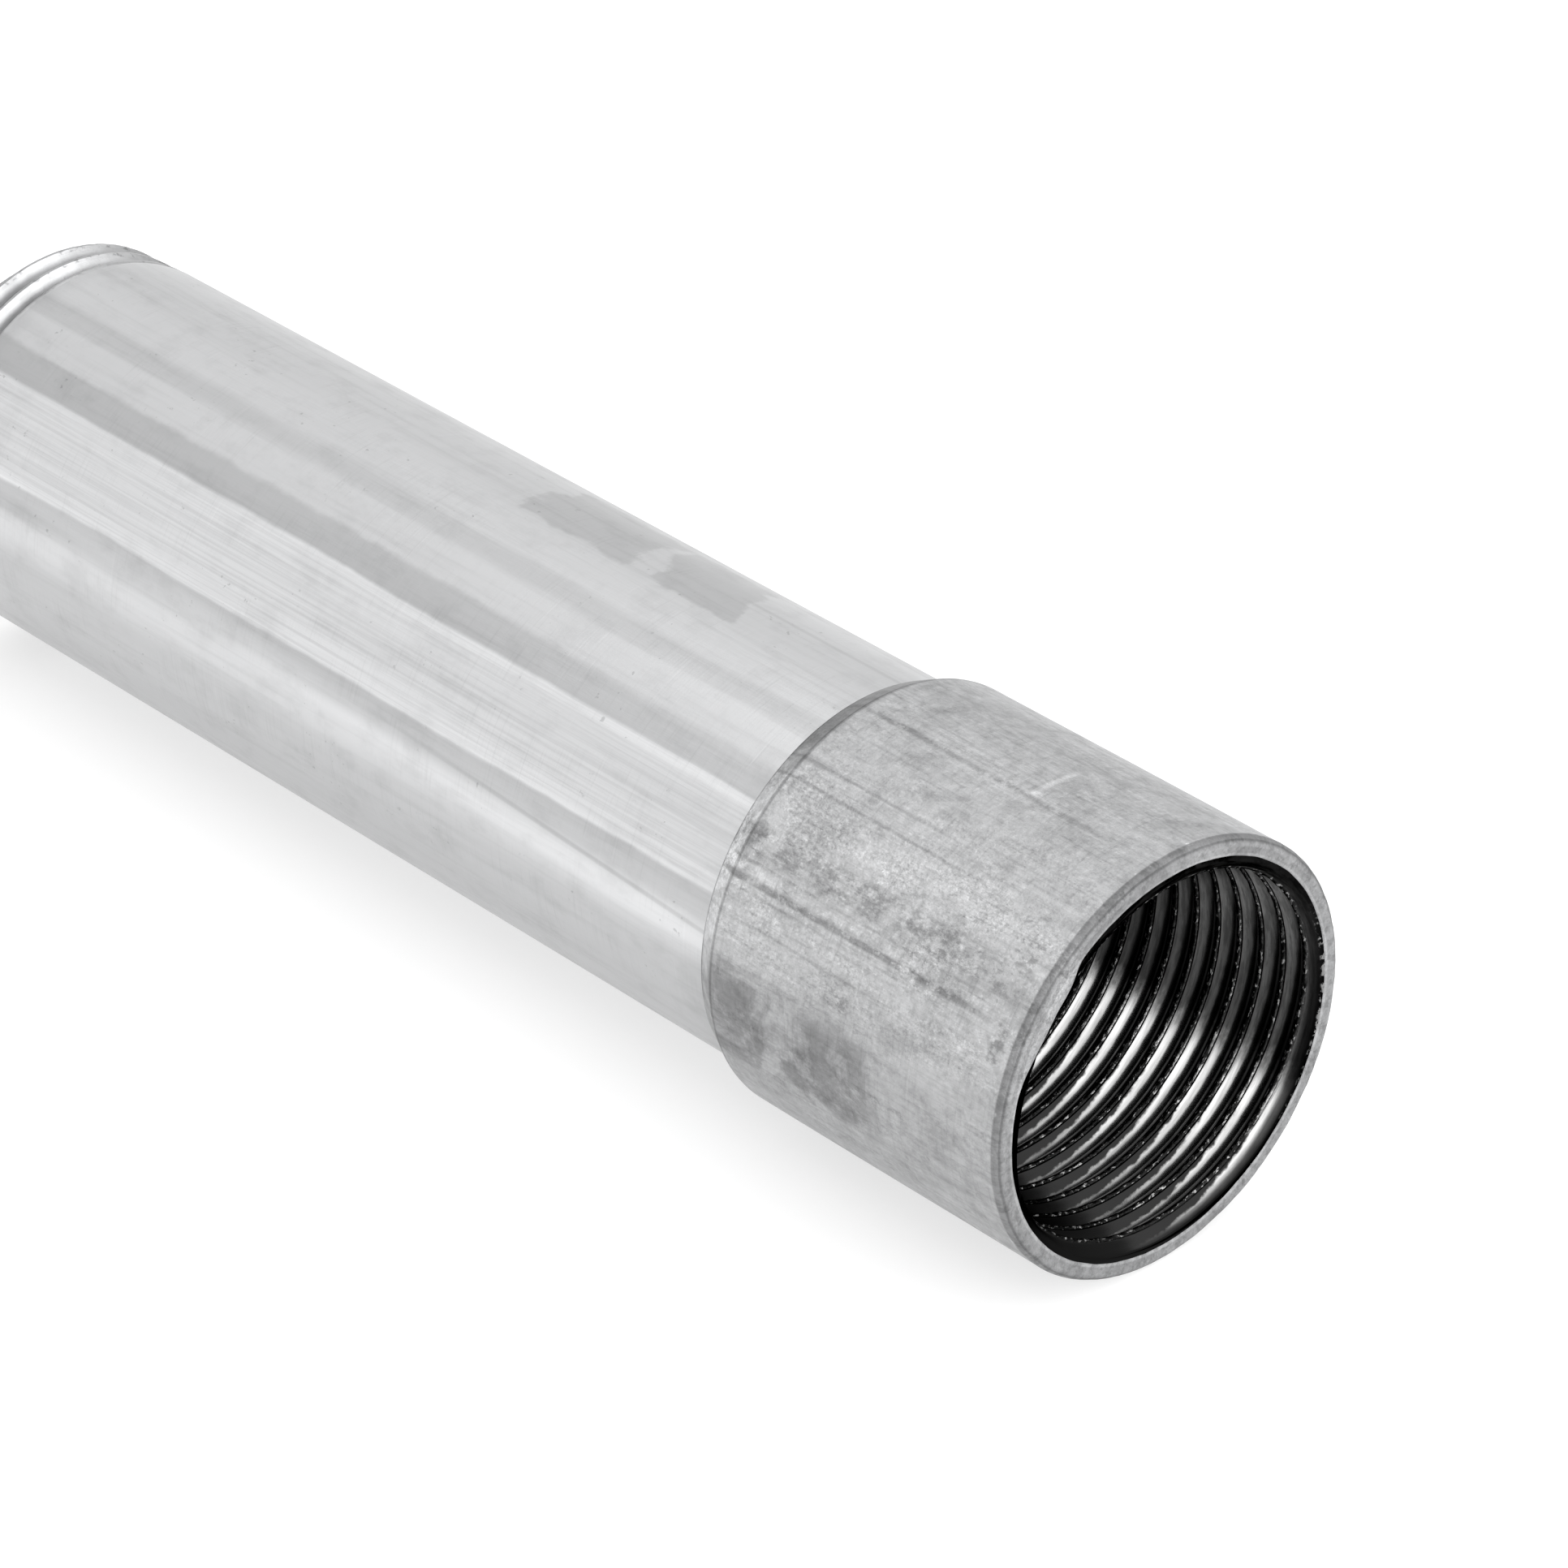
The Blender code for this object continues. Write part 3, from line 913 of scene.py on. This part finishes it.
def waves(x):
    """Faint unevenness, drawn out lengthwise, in a circle of the wall at x."""
    def wobble(angle):
        turn = angle / (2 * math.pi)
        wide = rough(x * 0.35, turn, 9 * MM, 1.0)
        small = rough(x * 0.35, turn, 3.5 * MM, 6.0)
        return 0.0, 0.012 * MM * wide + 0.004 * MM * small - 0.016 * MM
    return wobble


def pipe_side(skin):
    """Circles along the pipe's side between its threads."""
    start_x = -PIPE_LENGTH + RUN_OUT + 0.1 * MM
    end_x = -RUN_OUT
    side = []
    for row in range(WALL_ROWS + 1):
        x = start_x + (end_x - start_x) * row / WALL_ROWS
        side.append(skin.ring(x, WALL_RADIUS, waves(x)))
    return side


def pipe_bore(skin):
    """Circles through the bore from the joined end to the free end, with a chamfer at each."""
    places = [(0.0, BORE_CHAMFER), (-BORE_CHAMFER, 0.0)]
    places += [(-PIPE_LENGTH * share, 0.0) for share in (0.1, 0.3, 0.5, 0.7, 0.9)]
    places += [(-PIPE_LENGTH + BORE_CHAMFER, 0.0), (-PIPE_LENGTH, BORE_CHAMFER)]
    return [skin.ring(x, BORE_RADIUS + wider) for x, wider in places]


def make_pipe():
    """The pipe, from its joined end at the local origin to its free end at -X."""
    free_end = -PIPE_LENGTH
    skin = Skin()
    free = skin.thread(free_end, free_end + RUN_OUT, free_end + 1.0 * MM, OUTER_FORM, free_radius, 0)
    joined = skin.thread(-THREAD_LENGTH, 0.0, FIRST_RING, RING_FORM, joined_radius, 0, 0)
    side = pipe_side(skin)
    bore = pipe_bore(skin)
    skin.bridge([free[1], *side, joined[0]])
    skin.bridge([joined[1], bore[0]])
    skin.bridge(bore, 1)
    skin.bridge([bore[-1], free[0]])
    return skin.finish("pipe_wall", PIPE_HIGH.x, [pipe_zinc(), bore_zinc()])


# ---------------------------------------------------------------- stage

# Levels of the pale floor, its own glow and the white surround.
FLOOR_GREY = (0.45, 0.45, 0.45, 1.0)
FLOOR_GLOW = 0.6
SURROUND_LEVEL = 0.9
WHITE = (1.0, 1.0, 1.0, 1.0)

# The soft boxes: place, width, height and power in watts.
SOFT_BOXES = {
    "overhead": ((0.0, 0.0, 1.2), 1.6, 1.6, 9.0),
    "before_mouth": ((0.78, 0.12, 0.44), 1.40, 0.70, 7.0),
}


def make_floor():
    """A plain pale floor far wider than the object."""
    bm = bmesh.new()
    bmesh.ops.create_grid(bm, x_segments=8, y_segments=8, size=6.0)
    mesh = bpy.data.meshes.new("floor")
    bm.to_mesh(mesh)
    bm.free()
    material = bpy.data.materials.new("floor_white")
    material.use_nodes = True
    shader = material.node_tree.nodes["Principled BSDF"]
    shader.inputs["Base Color"].default_value = FLOOR_GREY
    shader.inputs["Emission Color"].default_value = WHITE
    shader.inputs["Emission Strength"].default_value = FLOOR_GLOW
    shader.inputs["Roughness"].default_value = 0.9
    shader.inputs["Specular IOR Level"].default_value = 0.0
    mesh.materials.append(material)
    floor = bpy.data.objects.new("floor", mesh)
    bpy.context.scene.collection.objects.link(floor)


def add_panel(name, place, width, height, power):
    """A soft box facing the object, which lights it but never shows in a view."""
    light = bpy.data.lights.new(name, "AREA")
    light.shape = "RECTANGLE"
    light.size = width
    light.size_y = height
    light.energy = power
    panel = bpy.data.objects.new(name, light)
    panel.location = place
    target = Vector((0.0, 0.0, AXIS_HEIGHT))
    panel.rotation_euler = (target - Vector(place)).to_track_quat("-Z", "Y").to_euler()
    panel.visible_camera = False
    bpy.context.scene.collection.objects.link(panel)


def make_lights():
    """A white surround, a soft box above, and a low one before the mouth that lights its thread."""
    world = bpy.data.worlds.new("studio")
    bpy.context.scene.world = world
    world.use_nodes = True
    background = world.node_tree.nodes["Background"]
    background.inputs["Color"].default_value = WHITE
    background.inputs["Strength"].default_value = SURROUND_LEVEL
    for name, (place, width, height, power) in SOFT_BOXES.items():
        add_panel(name, place, width, height, power)


def make_camera():
    """The camera that the first view is taken with, set by its place in front of the mouth."""
    back = Vector((
        math.sin(CAMERA_AZIMUTH) * math.cos(CAMERA_ELEVATION),
        -math.cos(CAMERA_AZIMUTH) * math.cos(CAMERA_ELEVATION),
        math.sin(CAMERA_ELEVATION),
    ))
    right = Vector((math.cos(CAMERA_AZIMUTH), math.sin(CAMERA_AZIMUTH), 0.0))
    up = back.cross(right)
    mouth = Vector((COUPLING_HIGH.x, 0.0, AXIS_HEIGHT))
    offset = MOUTH_AWAY * back - MOUTH_RIGHT * right + MOUTH_DOWN * up
    data = bpy.data.cameras.new("camera")
    data.lens = CAMERA_LENS
    data.sensor_width = 36.0
    data.clip_start = 0.01
    camera = bpy.data.objects.new("camera", data)
    turn = Matrix((right, up, back)).transposed().to_4x4()
    camera.matrix_world = Matrix.Translation(mouth + offset * COUPLING_RADIUS) @ turn
    bpy.context.scene.collection.objects.link(camera)
    bpy.context.scene.camera = camera


make_camera()
make_floor()
make_lights()

pipe = make_pipe()
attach(pipe, "nipple")
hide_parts("pipe_nipple")

coupling = make_coupling()
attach(coupling, "coupling")
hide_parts("coupling")

bpy.context.scene.view_settings.view_transform = "Standard"
